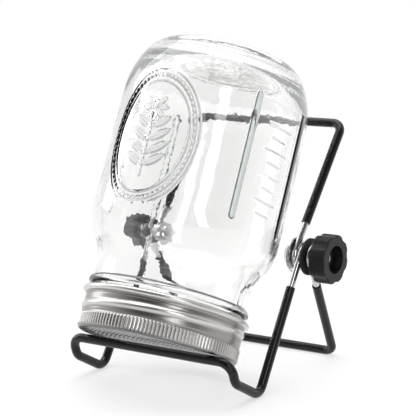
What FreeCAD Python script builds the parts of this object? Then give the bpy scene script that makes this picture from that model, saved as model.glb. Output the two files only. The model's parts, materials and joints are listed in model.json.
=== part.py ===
"""Pint jar with a strainer lid, leaning mouth down on a folding wire stand.

X runs across the stand, Y towards its rear leg and Z up. The origin is on the table, under the
middle of the whole object's box. All lengths are millimetres and all angles degrees.
"""
import FreeCAD, Part
import math
import os
import Sketcher

DRIVING_SIZES = (
    # stand wire
    ("wire_diameter", 3.0),
    ("coat_thickness", 0.55),
    ("bend_radius", 5.0),
    ("eye_wrap_angle", 280.0),
    ("base_bare_length", 17.0),
    ("upper_bare_length", 14.0),
    ("leg_bare_length", 13.6),
    # base frame
    ("base_half_width", 43.0),
    ("base_eye_half_width", 42.3),
    ("lower_rail_length", 62.5),
    ("lower_rail_angle", 34.2),
    ("hook_angle", 30.0),
    ("hook_run", 16.0),
    ("hook_rise", 9.8),
    ("hook_rise_angle", 16.0),
    ("hook_bend_radius", 6.0),
    # back rest and rear leg
    ("upper_rail_length", 66.2),
    ("upper_rail_angle", 38.6),
    ("top_bar_half_width", 40.2),
    ("leg_angle", 32.4),
    ("leg_foot_half_width", 39.6),
    ("splay_start", 7.0),
    ("splay_bend", 20.0),
    # clamp at each end of the pivot
    ("bolt_diameter", 6.0),
    ("bolt_tip_chamfer", 0.6),
    ("bolt_head_diameter", 12.5),
    ("bolt_head_height", 3.6),
    ("eye_clearance", 0.05),
    ("stack_play", 0.1),
    ("bevel_washer_diameter", 16.0),
    ("bevel_washer_thickness", 2.0),
    ("bevel_washer_rim", 0.8),
    ("bevel_washer_seat", 13.5),
    ("disc_diameter", 16.6),
    ("disc_thickness", 0.9),
    ("knob_washer_diameter", 15.4),
    ("knob_washer_thickness", 0.6),
    ("knob_diameter", 22.0),
    ("knob_length", 9.1),
    ("knob_collar_diameter", 14.0),
    ("knob_collar_length", 1.0),
    ("knob_edge_round", 0.7),
    ("lobe_round", 1.6),
    ("lobe_count", 8),
    ("scallop_radius", 6.0),
    ("scallop_depth", 0.75),
    ("recess_diameter", 12.5),
    ("recess_depth", 4.6),
    ("insert_diameter", 9.0),
    # strainer lid
    ("band_height", 18.8),
    ("band_wall", 0.5),
    ("band_lip", 0.6),
    ("band_opening_slack", 2.6),
    ("band_bead_proud", 1.8),
    ("band_bead_height", 2.8),
    ("band_corner", 0.8),
    ("band_ridge_start", 7.9),
    ("band_ridge_height", 5.2),
    ("band_ridge_proud", 0.7),
    ("knurl_count", 136),
    ("knurl_depth", 0.45),
    ("knurl_start", 1.2),
    ("knurl_height", 5.4),
    ("rim_ring_thickness", 1.2),
    ("rim_ring_sheet", 0.4),
    ("rim_ring_slack", 1.1),
    ("rim_ring_lip", 1.2),
    ("mesh_slack", 0.5),
    ("mesh_pitch", 3.5),
    ("mesh_bar", 1.0),
    ("gasket_thickness", 1.0),
    ("gasket_slack", 0.25),
    ("seal_gap", 0.05),
    # glass jar
    ("mouth_diameter", 60.0),
    ("neck_wall", 3.2),
    ("rim_chamfer", 0.8),
    ("thread_pitch", 6.35),
    ("thread_turns", 1.15),
    ("thread_height", 1.3),
    ("thread_width", 2.6),
    ("thread_start", 3.2),
    ("thread_gap", 0.45),
    ("collar_proud", 2.8),
    ("collar_start", 17.4),
    ("collar_height", 3.4),
    ("collar_chamfer", 0.9),
    ("throat_proud", 1.0),
    ("shoulder_start", 24.5),
    ("shoulder_height", 27.0),
    ("body_diameter", 84.0),
    ("jar_height", 131.0),
    ("heel_height", 26.0),
    ("heel_inset", 14.0),
    ("heel_toe", 9.0),
    ("wall_thickness", 3.0),
    ("base_thickness", 5.0),
    ("bearing_width", 3.5),
    ("punt_depth", 3.0),
    ("punt_panel", 44.0),
    ("rib_length", 57.0),
    ("rib_margin", 1.3),
    ("rib_turn_angle", -9.0),
    ("rib_spread_angle", 42.0),
    ("rib_radius", 1.9),
    ("rib_proud", 1.2),
    # how the jar sits
    ("seat_gap", 0.3),
    ("lid_overhang", 5.0),
    ("heel_relief", 0.4),
)

doc = FreeCAD.newDocument("jar_stand")
sheet = doc.addObject("Spreadsheet::Sheet", "sizes")
for row, (alias, number) in enumerate(DRIVING_SIZES, start=1):
    sheet.set("A%d" % row, alias)
    sheet.set("B%d" % row, str(number))
    sheet.setAlias("B%d" % row, alias)
doc.recompute()

pieces = []


def size(alias):
    """A driving dimension, read from the sheet."""
    return float(sheet.get(alias))


def keep(piece, label, placement=None):
    """Name a finished sub-part, set it in place and list it for writing."""
    piece.Label = label
    if placement is not None:
        piece.Placement = placement
    pieces.append(piece)
    return piece


def bind(feature, **expressions):
    """Tie a feature's properties to the sheet."""
    for name, expression in expressions.items():
        feature.setExpression(name, expression)


def turned_to_x(side, distance, height):
    """Placement that lays a local Z axis outwards along X, on the pivot's line."""
    turn = FreeCAD.Rotation(FreeCAD.Vector(0, 0, 1), FreeCAD.Vector(side, 0, 0))
    return FreeCAD.Placement(FreeCAD.Vector(side * distance, PIVOT_Y, height), turn)


def origin_plane(body, role):
    """One of a body's own origin planes or axes."""
    return [item for item in body.Origin.OriginFeatures if item.Role == role][0]


def new_sketch(body, name, role, lift=None):
    """An empty sketch on one of the body's origin planes, lifted along its normal by an expression."""
    sketch = body.newObject("Sketcher::SketchObject", name)
    sketch.AttachmentSupport = (origin_plane(body, role), [""])
    sketch.MapMode = "FlatFace"
    if lift is not None:
        sketch.setExpression("AttachmentOffset.Base.z", lift)
    return sketch


def arc_middle(start, end, radius, side):
    """Middle point of the short arc from start to end; side 1 bulges to the left of that run."""
    chord = end - start
    half = chord.Length / 2
    sagitta = radius - math.sqrt(radius * radius - half * half)
    left = FreeCAD.Vector(-chord.y, chord.x, 0).normalize()
    return (start + end) / 2 + left * (sagitta * side)


def draw_outline(sketch, corners):
    """Draw a closed outline whose every corner and radius is tied to the sheet.

    A corner is (across, up) in expressions, and (across, up, radius, side) where the edge that
    leaves it is an arc.
    """
    points = []
    for corner in corners:
        across, up = [float(sketch.evalExpression(text)) for text in corner[:2]]
        points.append(FreeCAD.Vector(across, up, 0))
    ends = []
    for index, corner in enumerate(corners):
        start = points[index]
        end = points[(index + 1) % len(points)]
        if len(corner) == 2:
            sketch.addGeometry(Part.LineSegment(start, end))
            ends.append((1, 2))
            continue
        radius = float(sketch.evalExpression(corner[2]))
        middle = arc_middle(start, end, radius, corner[3])
        # a sketch keeps every arc counter-clockwise, so one that bulges left runs from its far end
        if corner[3] > 0:
            sketch.addGeometry(Part.Arc(end, middle, start))
            ends.append((2, 1))
        else:
            sketch.addGeometry(Part.Arc(start, middle, end))
            ends.append((1, 2))
    for index, corner in enumerate(corners):
        following = (index + 1) % len(corners)
        sketch.addConstraint(
            Sketcher.Constraint("Coincident", index, ends[index][1], following, ends[following][0])
        )
    for index, corner in enumerate(corners):
        kinds = ("DistanceX", "DistanceY")
        for kind, text, value in zip(kinds, corner[:2], (points[index].x, points[index].y)):
            if text == "0":
                axis = -2 if kind == "DistanceX" else -1
                sketch.addConstraint(Sketcher.Constraint("PointOnObject", index, ends[index][0], axis))
                continue
            number = sketch.addConstraint(
                Sketcher.Constraint(kind, -1, 1, index, ends[index][0], value)
            )
            sketch.setExpression("Constraints[%d]" % number, text)
        if len(corner) > 2:
            radius = float(sketch.evalExpression(corner[2]))
            number = sketch.addConstraint(Sketcher.Constraint("Radius", index, radius))
            sketch.setExpression("Constraints[%d]" % number, corner[2])


def turned_body(name, corners):
    """A body turned about its local Z axis from an outline of (radius, height) corners."""
    body = doc.addObject("PartDesign::Body", name)
    sketch = new_sketch(body, name + "_outline", "XZ_Plane")
    draw_outline(sketch, corners)
    turning = body.newObject("PartDesign::Revolution", name + "_turning")
    turning.Profile = sketch
    turning.ReferenceAxis = (sketch, ["V_Axis"])
    turning.Angle = 360
    doc.recompute()
    return body


def ring(name, outer, bore, thickness):
    """A flat washer: a cylinder with a bore, tied to the sheet."""
    blank = doc.addObject("Part::Cylinder", name + "_blank")
    bind(blank, Radius=outer + " / 2", Height=thickness)
    hole = doc.addObject("Part::Cylinder", name + "_hole")
    bind(hole, Radius=bore, Height=thickness)
    washer = doc.addObject("Part::Cut", name)
    washer.Base = blank
    washer.Tool = hole
    return washer


# Lengths that follow from the driving dimensions

WIRE_R = size("wire_diameter") / 2
COAT_R = WIRE_R + size("coat_thickness")
BEND = size("bend_radius")
EYE_R = size("bolt_diameter") / 2 + size("eye_clearance") + WIRE_R

X_BASE = size("base_eye_half_width")
X_BACK = X_BASE - 2 * WIRE_R - size("stack_play")
X_LEG = X_BASE + 2 * WIRE_R + size("disc_thickness") + 2 * size("stack_play")


def slant(degrees):
    """Unit direction in the YZ plane that leans backwards from straight up."""
    angle = math.radians(degrees)
    return FreeCAD.Vector(0, math.sin(angle), math.cos(angle))


def in_front(direction):
    """Unit direction square to a rail, pointing to the front of the stand."""
    across = FreeCAD.Vector(0, -direction.z, direction.y)
    return across if across.y < 0 else across * -1


LOWER = slant(size("lower_rail_angle")) * -1
UPPER = slant(size("upper_rail_angle"))
LEG = slant(-size("leg_angle")) * -1

# Side view, first with the pivot at y 0: the foot bend rests on the table
FOOT_CENTRE_Z = COAT_R + BEND
PIVOT_Z = (
    FOOT_CENTRE_Z
    + (BEND + EYE_R) * in_front(LOWER).z * -1
    - size("lower_rail_length") * LOWER.z
)
PIVOT = FreeCAD.Vector(0, 0, PIVOT_Z)


def leaves_eye(direction):
    """Point where a rail leaves its eye, in front of the bolt."""
    return PIVOT + in_front(direction) * EYE_R


FOOT_CENTRE = leaves_eye(LOWER) + LOWER * size("lower_rail_length") + in_front(LOWER) * BEND
HOOK_DIRECTION = slant(size("hook_angle") - 90)
HOOK_START = FOOT_CENTRE + FreeCAD.Vector(0, HOOK_DIRECTION.z * -1, HOOK_DIRECTION.y) * BEND
HOOK_FRONT = HOOK_START + HOOK_DIRECTION * size("hook_run")
SHELF = HOOK_FRONT + slant(-size("hook_rise_angle")) * size("hook_rise")
TOP_BAR = leaves_eye(UPPER) + UPPER * size("upper_rail_length")
LEG_LENGTH = (leaves_eye(LEG).z - COAT_R) / -LEG.z
LEG_FOOT = leaves_eye(LEG) + LEG * LEG_LENGTH


def foot_corner():
    """Where the lower rail's line and the hook's line meet, outside the foot bend."""
    half_turn = LOWER.getAngle(HOOK_DIRECTION) / 2
    return HOOK_START - HOOK_DIRECTION * (BEND * math.tan(half_turn))


NECK = "(sizes.mouth_diameter / 2 + sizes.neck_wall)"
RIM = "(sizes.band_lip + sizes.rim_ring_thickness + sizes.gasket_thickness + sizes.seal_gap)"


def settle_lean():
    """Lean of the jar with its lid on the shelf bar and its rounded heel against the top bar."""
    span = TOP_BAR - SHELF
    across = size("lid_overhang") + size("body_diameter") / 2 + COAT_R + size("seat_gap")
    across -= size("heel_relief")
    return math.degrees(math.acos(across / span.Length) - math.atan2(span.z, span.y))


LEAN = settle_lean()
JAR_AXIS = slant(LEAN)
JAR_BACK = FreeCAD.Vector(0, JAR_AXIS.z, -JAR_AXIS.y)
LID_CENTRE = SHELF + JAR_AXIS * (COAT_R + size("seat_gap")) + JAR_BACK * size("lid_overhang")

NECK_R = size("mouth_diameter") / 2 + size("neck_wall")
BAND_R = NECK_R + size("thread_height") + size("thread_gap") + size("band_wall")
KNURL_R = BAND_R + size("knurl_depth")

# The box runs from the front of the lid's knurl to the back of the top bar
FRONT_EDGE = LID_CENTRE + JAR_AXIS * size("knurl_start") - JAR_BACK * KNURL_R
PIVOT_Y = -(FRONT_EDGE.y + TOP_BAR.y + COAT_R) / 2
SHIFT = FreeCAD.Vector(0, PIVOT_Y, 0)
JAR_TURN = FreeCAD.Rotation(FreeCAD.Vector(1, 0, 0), -LEAN)


def on_jar_axis(height):
    """Placement on the jar's axis, a height above the lid's outer face."""
    return FreeCAD.Placement(LID_CENTRE + SHIFT + JAR_AXIS * height, JAR_TURN)


# Bent wire frames


def bent_path(corners, radii):
    """Edges of a bent wire: straight runs joined by tangent arcs of the given radii."""
    edges = []
    start = corners[0]
    for index, radius in zip(range(1, len(corners) - 1), radii):
        corner = corners[index]
        before = (corners[index - 1] - corner).normalize()
        after = (corners[index + 1] - corner).normalize()
        half = before.getAngle(after) / 2
        cut = radius / math.tan(half)
        bisector = (before + after).normalize()
        middle = corner + bisector * (radius / math.sin(half) - radius)
        edges.append(Part.LineSegment(start, corner + before * cut).toShape())
        edges.append(Part.Arc(corner + before * cut, middle, corner + after * cut).toShape())
        start = corner + after * cut
    edges.append(Part.LineSegment(start, corners[-1]).toShape())
    return edges


def eye_edges(side, across, direction, wrap):
    """Arc edges of an eye that curls round the bolt and ends where its rail leaves."""
    centre = PIVOT + FreeCAD.Vector(side * across, 0, 0)
    front = in_front(direction)

    def at(degrees):
        angle = math.radians(degrees)
        return centre + front * (EYE_R * math.cos(angle)) + direction * (EYE_R * math.sin(angle))

    half = -wrap / 2
    first = Part.Arc(at(-wrap), at((half - wrap) / 2), at(half)).toShape()
    second = Part.Arc(at(half), at(half / 2), at(0)).toShape()
    return [first, second]


def swept(edges, radius):
    """A round bar along a chain of edges."""
    path = Part.Wire(edges)
    start = edges[0].valueAt(edges[0].FirstParameter)
    heading = edges[0].tangentAt(edges[0].FirstParameter)
    section = Part.Wire(Part.makeCircle(radius, start, heading))
    return path.makePipeShell([section], True, False)


def bare_end(corners, length):
    """Point a length along a run of corners, and the corners that lie beyond it."""
    rest = list(corners)
    run = rest[1] - rest[0]
    while run.Length <= length:
        length -= run.Length
        rest.pop(0)
        run = rest[1] - rest[0]
    return rest[0] + run.normalize() * length, rest[1:]


def frame_shapes(right_corners, radii, across, direction, bare_length):
    """Steel wire and plastic coat of one frame, mirrored about the middle plane."""

    def mirrored(point):
        return FreeCAD.Vector(-point.x, point.y, point.z)

    leave = leaves_eye(direction)
    right_eye = FreeCAD.Vector(across, leave.y, leave.z)
    left_eye = mirrored(right_eye)
    left_corners = [mirrored(corner) for corner in reversed(right_corners)]
    corners = [right_eye] + right_corners + left_corners + [left_eye]
    all_radii = list(radii) + list(reversed(radii))
    runs = bent_path(corners, all_radii)
    right_loop = eye_edges(1, across, direction, size("eye_wrap_angle"))
    left_loop = [
        Part.Arc(*[mirrored(edge.valueAt(place)) for place in reversed_thirds(edge)]).toShape()
        for edge in reversed(right_loop)
    ]
    wire = swept(right_loop + runs + left_loop, WIRE_R)

    bare, rest = bare_end(corners, bare_length)
    skipped = len(corners) - len(rest) - 1
    coat_corners = [bare] + rest[: len(rest) - 1 - skipped] + [mirrored(bare)]
    coat_radii = all_radii[skipped : len(all_radii) - skipped]
    coat_path = bent_path(coat_corners, coat_radii)
    coat = swept(coat_path, COAT_R).cut(swept(coat_path, WIRE_R))
    return wire, coat


def reversed_thirds(edge):
    """End, middle and start parameters of an edge."""
    first, last = edge.FirstParameter, edge.LastParameter
    return last, (first + last) / 2, first


def add_frame(name, right_corners, radii, across, direction, bare_length):
    """Both nodes of one frame."""
    placement = FreeCAD.Placement(SHIFT, FreeCAD.Rotation())
    shapes = frame_shapes(right_corners, radii, across, direction, bare_length)
    for label, shape in zip((name + "_wire", name + "_coat"), shapes):
        feature = doc.addObject("Part::Feature", label)
        feature.Shape = shape
        keep(feature, label, placement)


def at_x(point, across):
    """The same point of the side view, moved across the stand."""
    return FreeCAD.Vector(across, point.y, point.z)


def splay_corner(across, direction):
    """Where a rail starts to lean sideways, a short straight run from its eye."""
    return at_x(leaves_eye(direction) + direction * size("splay_start"), across)


def build_base_frame():
    width = size("base_half_width")
    corners = [splay_corner(X_BASE, LOWER)]
    corners += [at_x(corner, width) for corner in (foot_corner(), HOOK_FRONT, SHELF)]
    hook_bend = size("hook_bend_radius")
    radii = (size("splay_bend"), BEND, hook_bend, hook_bend)
    add_frame("base", corners, radii, X_BASE, LOWER, size("base_bare_length"))


def build_back_rest():
    corners = [splay_corner(X_BACK, UPPER), at_x(TOP_BAR, size("top_bar_half_width"))]
    radii = (size("splay_bend"), BEND)
    add_frame("back_rest", corners, radii, X_BACK, UPPER, size("upper_bare_length"))


def build_rear_leg():
    corners = [splay_corner(X_LEG, LEG), at_x(LEG_FOOT, size("leg_foot_half_width"))]
    radii = (size("splay_bend"), BEND)
    add_frame("rear_leg", corners, radii, X_LEG, LEG, size("leg_bare_length"))


# Clamp hardware, the same on both sides

CLAMP_BORE = "(sizes.bolt_diameter / 2 + sizes.eye_clearance)"
X_BEVEL_OUTER = X_BACK - WIRE_R - size("stack_play")
X_HEAD_SEAT = X_BEVEL_OUTER - size("bevel_washer_thickness")
X_DISC = X_BASE + WIRE_R + size("stack_play")
X_WASHER = X_LEG + WIRE_R + size("stack_play")
X_KNOB = X_WASHER + size("knob_washer_thickness")


def build_bolt(label, side):
    """Dome-headed bolt, its tip level with the floor of the knob's recess."""
    head = "sizes.bolt_head_height"
    radius = "(sizes.bolt_diameter / 2)"
    head_radius = "(sizes.bolt_head_diameter / 2)"
    dome = "((%s^2 + %s^2) / (2 * %s))" % (head_radius, head, head)
    stack = (
        "(sizes.bevel_washer_thickness + 3 * sizes.wire_diameter + 4 * sizes.stack_play"
        " + sizes.disc_thickness + sizes.knob_washer_thickness)"
    )
    tip = "(%s + %s + sizes.knob_length - sizes.recess_depth)" % (head, stack)
    corners = [
        ("0", "0", dome, -1),
        (head_radius, head),
        (radius, head),
        (radius, tip + " - sizes.bolt_tip_chamfer"),
        (radius + " - sizes.bolt_tip_chamfer", tip),
        ("0", tip),
    ]
    body = turned_body(label, corners)
    keep(body, label, turned_to_x(side, X_HEAD_SEAT - size("bolt_head_height"), PIVOT_Z))


def build_bevel_washer(label, side):
    """Turned washer, bevelled on the side of the bolt's head."""
    rim = "(sizes.bevel_washer_diameter / 2)"
    corners = [
        (CLAMP_BORE, "0"),
        ("(sizes.bevel_washer_seat / 2)", "0"),
        (rim, "(sizes.bevel_washer_thickness - sizes.bevel_washer_rim)"),
        (rim, "sizes.bevel_washer_thickness"),
        (CLAMP_BORE, "sizes.bevel_washer_thickness"),
    ]
    body = turned_body(label, corners)
    keep(body, label, turned_to_x(side, X_HEAD_SEAT, PIVOT_Z))


def build_flat_washers(word, side):
    """Friction disc between base and rear leg, and the plain washer under the knob."""
    disc = ring("friction_disc_" + word, "sizes.disc_diameter", CLAMP_BORE, "sizes.disc_thickness")
    keep(disc, "friction_disc_" + word, turned_to_x(side, X_DISC, PIVOT_Z))
    washer = ring(
        "knob_washer_" + word, "sizes.knob_washer_diameter", CLAMP_BORE, "sizes.knob_washer_thickness"
    )
    keep(washer, "knob_washer_" + word, turned_to_x(side, X_WASHER, PIVOT_Z))


def circle_sketch(body, name, role, radius, lift=None, offset=None):
    """A sketch of one circle, at the origin or set off along its X axis."""
    sketch = new_sketch(body, name, role, lift)
    across = 0.0 if offset is None else float(sketch.evalExpression(offset))
    length = float(sketch.evalExpression(radius))
    sketch.addGeometry(Part.Circle(FreeCAD.Vector(across, 0, 0), FreeCAD.Vector(0, 0, 1), length))
    number = sketch.addConstraint(Sketcher.Constraint("Radius", 0, length))
    sketch.setExpression("Constraints[%d]" % number, radius)
    if offset is None:
        sketch.addConstraint(Sketcher.Constraint("Coincident", 0, 3, -1, 1))
    else:
        sketch.addConstraint(Sketcher.Constraint("PointOnObject", 0, 3, -1))
        number = sketch.addConstraint(Sketcher.Constraint("DistanceX", -1, 1, 0, 3, across))
        sketch.setExpression("Constraints[%d]" % number, offset)
    return sketch


def padded(body, sketch, length):
    pad = body.newObject("PartDesign::Pad", sketch.Name + "_pad")
    pad.Profile = sketch
    bind(pad, Length=length)
    doc.recompute()
    return pad


def pocketed(body, sketch, length=None):
    """A pocket along the sketch's normal, through everything where no length is given."""
    before = body.Shape.Volume
    pocket = body.newObject("PartDesign::Pocket", sketch.Name + "_pocket")
    pocket.Profile = sketch
    pocket.Reversed = True
    if length is None:
        pocket.Type = "ThroughAll"
    else:
        bind(pocket, Length=length)
    doc.recompute()
    if body.Shape.Volume >= before:
        raise RuntimeError(sketch.Name + " cut nothing")
    return pocket


def reach_of(edge):
    """Distance of an edge's middle from the body's Z axis."""
    middle = edge.valueAt((edge.FirstParameter + edge.LastParameter) / 2)
    return math.hypot(middle.x, middle.y)


def rounded(body, name, chosen, radius):
    """Round the edges of a body that a test picks out."""
    base = body.Tip
    numbered = enumerate(base.Shape.Edges, start=1)
    names = ["Edge%d" % number for number, edge in numbered if chosen(edge)]
    rounding = body.newObject("PartDesign::Fillet", name)
    rounding.Base = (base, names)
    bind(rounding, Radius=radius)
    doc.recompute()


def build_knob(label, side):
    """Lobed clamp knob with a deep round recess in its outer face."""
    body = doc.addObject("PartDesign::Body", label)
    collar = circle_sketch(body, label + "_collar", "XY_Plane", "sizes.knob_collar_diameter / 2")
    padded(body, collar, "sizes.knob_collar_length")
    grip = circle_sketch(
        body, label + "_grip", "XY_Plane", "sizes.knob_diameter / 2", "sizes.knob_collar_length"
    )
    padded(body, grip, "sizes.knob_length - sizes.knob_collar_length")
    scallop = circle_sketch(
        body,
        label + "_scallop",
        "XY_Plane",
        "sizes.scallop_radius",
        "sizes.knob_collar_length",
        "sizes.knob_diameter / 2 + sizes.scallop_radius - sizes.scallop_depth",
    )
    cut = pocketed(body, scallop)
    lobes = body.newObject("PartDesign::PolarPattern", label + "_lobes")
    lobes.Originals = [cut]
    lobes.Axis = (origin_plane(body, "Z_Axis"), [""])
    lobes.Angle = 360
    bind(lobes, Occurrences="sizes.lobe_count")
    body.Tip = lobes
    doc.recompute()
    bore = circle_sketch(body, label + "_insert_bore", "XY_Plane", "sizes.insert_diameter / 2")
    pocketed(body, bore)
    recess = circle_sketch(
        body,
        label + "_recess",
        "XY_Plane",
        "sizes.recess_diameter / 2",
        "sizes.knob_length - sizes.recess_depth",
    )
    pocketed(body, recess)
    rim_radius = size("knob_diameter") / 2 - size("scallop_depth") - size("knob_edge_round")
    ends = (size("knob_collar_length"), size("knob_length"))

    def cusp(edge):
        box = edge.BoundBox
        return box.ZLength > 0.5 * size("knob_length") and reach_of(edge) > rim_radius

    def end_rim(edge):
        box = edge.BoundBox
        level = min(abs(box.ZMin - end) for end in ends)
        return box.ZLength < 0.001 and level < 0.001 and reach_of(edge) > rim_radius

    rounded(body, label + "_lobe_rounding", cusp, "sizes.lobe_round")
    rounded(body, label + "_rim_rounding", end_rim, "sizes.knob_edge_round")
    keep(body, label, turned_to_x(side, X_KNOB, PIVOT_Z))


def build_insert(word, side):
    """Steel insert that the bolt screws into."""
    length = "sizes.knob_length - sizes.recess_depth"
    insert = ring("knob_insert_" + word, "sizes.insert_diameter", CLAMP_BORE, length)
    keep(insert, "knob_insert_" + word, turned_to_x(side, X_KNOB, PIVOT_Z))


def build_clamps():
    for word, side in (("right", 1), ("left", -1)):
        build_bolt("bolt_" + word, side)
        build_bevel_washer("bevel_washer_" + word, side)
        build_flat_washers(word, side)
        build_knob("knob_" + word, side)
        build_insert(word, side)


# Strainer lid


def helix(body, name, corners, height):
    """A thread ridge wound about the body's axis from an outline of (radius, height) corners."""
    sketch = new_sketch(body, name + "_section", "XZ_Plane")
    draw_outline(sketch, corners)
    doc.recompute()
    ridge = body.newObject("PartDesign::AdditiveHelix", name)
    ridge.Profile = sketch
    ridge.ReferenceAxis = (sketch, ["V_Axis"])
    ridge.Mode = "pitch-height-angle"
    bind(ridge, Pitch="sizes.thread_pitch", Height=height)
    doc.recompute()


def build_band():
    """Screw band: lip, knurled skirt, thread ridge and rolled bead."""
    root = "(%s + sizes.thread_height + sizes.thread_gap)" % NECK
    outer = "(%s + sizes.band_wall)" % root
    opening = "(sizes.mouth_diameter / 2 + sizes.band_opening_slack)"
    bead = "(%s + sizes.band_bead_proud)" % outer
    bead_radius = "(sizes.band_bead_height / 2)"
    bead_low = "(sizes.band_height - sizes.band_bead_height)"
    corner = "sizes.band_corner"
    inner_corner = "(sizes.band_corner - sizes.band_lip)"
    ridge_low = "sizes.band_ridge_start"
    ridge_high = "(sizes.band_ridge_start + sizes.band_ridge_height)"
    ridge_radius = (
        "((sizes.band_ridge_height^2 / 4 + sizes.band_ridge_proud^2) / (2 * sizes.band_ridge_proud))"
    )
    corners = [
        (opening, "0"),
        ("(%s - %s)" % (outer, corner), "0", corner, -1),
        (outer, corner),
        (outer, ridge_low, ridge_radius, -1),
        (outer, ridge_high),
        (outer, bead_low),
        ("(%s - %s)" % (bead, bead_radius), bead_low, bead_radius, -1),
        (bead, "(%s + %s)" % (bead_low, bead_radius), bead_radius, -1),
        ("(%s - %s)" % (bead, bead_radius), "sizes.band_height"),
        (root, "sizes.band_height"),
        (root, "(sizes.band_lip + %s)" % inner_corner, inner_corner, 1),
        ("(%s - %s)" % (root, inner_corner), "sizes.band_lip"),
        (opening, "sizes.band_lip"),
    ]
    body = turned_body("lid_band", corners)

    knurls = new_sketch(body, "knurl_outline", "XY_Plane", "sizes.knurl_start")
    count = int(size("knurl_count"))
    valley = BAND_R - size("band_wall") / 2
    outline = []
    for number in range(2 * count):
        angle = math.pi * number / count
        reach = KNURL_R if number % 2 else valley
        outline.append(FreeCAD.Vector(reach * math.cos(angle), reach * math.sin(angle), 0))
    for number, start in enumerate(outline):
        knurls.addGeometry(Part.LineSegment(start, outline[(number + 1) % len(outline)]))
    inside = valley - size("band_wall") / 4
    knurls.addGeometry(Part.Circle(FreeCAD.Vector(), FreeCAD.Vector(0, 0, 1), inside))
    padded(body, knurls, "sizes.knurl_height")

    half = "(sizes.thread_pitch / 2)"
    middle = "(%s + sizes.thread_start + %s)" % (RIM, half)
    neck = "(%s + sizes.thread_gap)" % NECK
    deep = "(%s + sizes.band_wall / 2)" % root
    section = [
        (neck, "(%s - sizes.thread_width / 6)" % middle),
        (neck, "(%s + sizes.thread_width / 6)" % middle),
        (deep, "(%s + sizes.thread_width / 2)" % middle),
        (deep, "(%s - sizes.thread_width / 2)" % middle),
    ]
    helix(body, "band_thread", section, "0.75 * sizes.thread_pitch")
    keep(body, "lid_band", on_jar_axis(0))


def build_rim_ring():
    """Folded ring that grips the edge of the strainer mesh."""
    outer = "(%s + sizes.thread_height - sizes.rim_ring_slack)" % NECK
    opening = "(%s - sizes.rim_ring_lip)" % outer
    groove = "(%s - sizes.rim_ring_sheet)" % outer
    top = "sizes.rim_ring_thickness"
    corners = [
        (opening, "0"),
        (outer, "0"),
        (outer, top),
        (opening, top),
        (opening, "(%s - sizes.rim_ring_sheet)" % top),
        (groove, "(%s - sizes.rim_ring_sheet)" % top),
        (groove, "sizes.rim_ring_sheet"),
        (opening, "sizes.rim_ring_sheet"),
    ]
    body = turned_body("screen_rim", corners)
    keep(body, "screen_rim", on_jar_axis(size("band_lip")))


def build_mesh():
    """Strainer mesh: one flat disc with a grid of square openings."""
    sheet_gap = size("rim_ring_thickness") - 2 * size("rim_ring_sheet")
    outer = NECK_R + size("thread_height") - size("rim_ring_slack")
    radius = outer - size("rim_ring_sheet") - size("mesh_slack") / 2
    clear = outer - size("rim_ring_lip")
    pitch = size("mesh_pitch")
    gap = pitch - size("mesh_bar")
    face = Part.Wire(Part.makeCircle(radius))
    gaps = []
    steps = int(clear / pitch) + 1
    for column in range(-steps, steps + 1):
        for row in range(-steps, steps + 1):
            x, y = column * pitch, row * pitch
            if math.hypot(abs(x) + gap / 2, abs(y) + gap / 2) < clear:
                corner = FreeCAD.Vector(x - gap / 2, y - gap / 2, 0)
                gaps.append(Part.makePlane(gap, gap, corner).OuterWire)
    disc = Part.Face([face] + gaps)
    disc.validate()
    feature = doc.addObject("Part::Feature", "screen_mesh")
    feature.Shape = disc.extrude(FreeCAD.Vector(0, 0, sheet_gap))
    keep(feature, "screen_mesh", on_jar_axis(size("band_lip") + size("rim_ring_sheet")))


def build_gasket():
    bore = "(sizes.mouth_diameter / 2 + sizes.gasket_slack)"
    gasket = ring("gasket_ring", "2 * " + NECK, bore, "sizes.gasket_thickness")
    keep(gasket, "gasket_ring", on_jar_axis(size("band_lip") + size("rim_ring_thickness")))


# Glass jar, measured from its rim


def shoulder_corners(inner, outer, side):
    """Two equal arcs that lead from one radius out to a larger one over the shoulder."""
    spread = "((%s) - (%s))" % (outer, inner)
    rise = "sizes.shoulder_height"
    radius = "((%s^2 + %s^2) / (4 * %s))" % (spread, rise, spread)
    start = "sizes.shoulder_start"
    return [
        (inner, start, radius, side),
        ("((%s) + %s / 2)" % (inner, spread), "(%s + %s / 2)" % (start, rise), radius, -side),
    ]


def heel_corners(start_radius, start_height, rise, inset, toe):
    """A long arc and a short toe arc that lead from the side wall to the base."""
    run = "(%s - %s)" % (rise, toe)
    step = "(%s - %s)" % (inset, toe)
    reach = "((%s^2 + %s^2) / (2 * %s))" % (run, step, step)
    big = "(%s + %s)" % (reach, toe)
    sine = "(%s / %s)" % (run, reach)
    cosine = "((%s - %s) / %s)" % (reach, step, reach)
    return [
        (start_radius, start_height, big, -1),
        (
            "(%s - %s * (1 - %s))" % (start_radius, big, cosine),
            "(%s + %s * %s)" % (start_height, big, sine),
            toe,
            -1,
        ),
        ("(%s - %s)" % (start_radius, inset), "(%s + %s)" % (start_height, rise)),
    ]


def flipped(corners):
    """The same run of corners walked the other way, arcs included."""
    arcs = [corner[2:] for corner in corners]
    turned = []
    for index in range(len(corners) - 1, -1, -1):
        leaving = arcs[index - 1] if index > 0 else ()
        reverse = (leaving[0], -leaving[1]) if leaving else ()
        turned.append(corners[index][:2] + reverse)
    return turned


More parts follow.
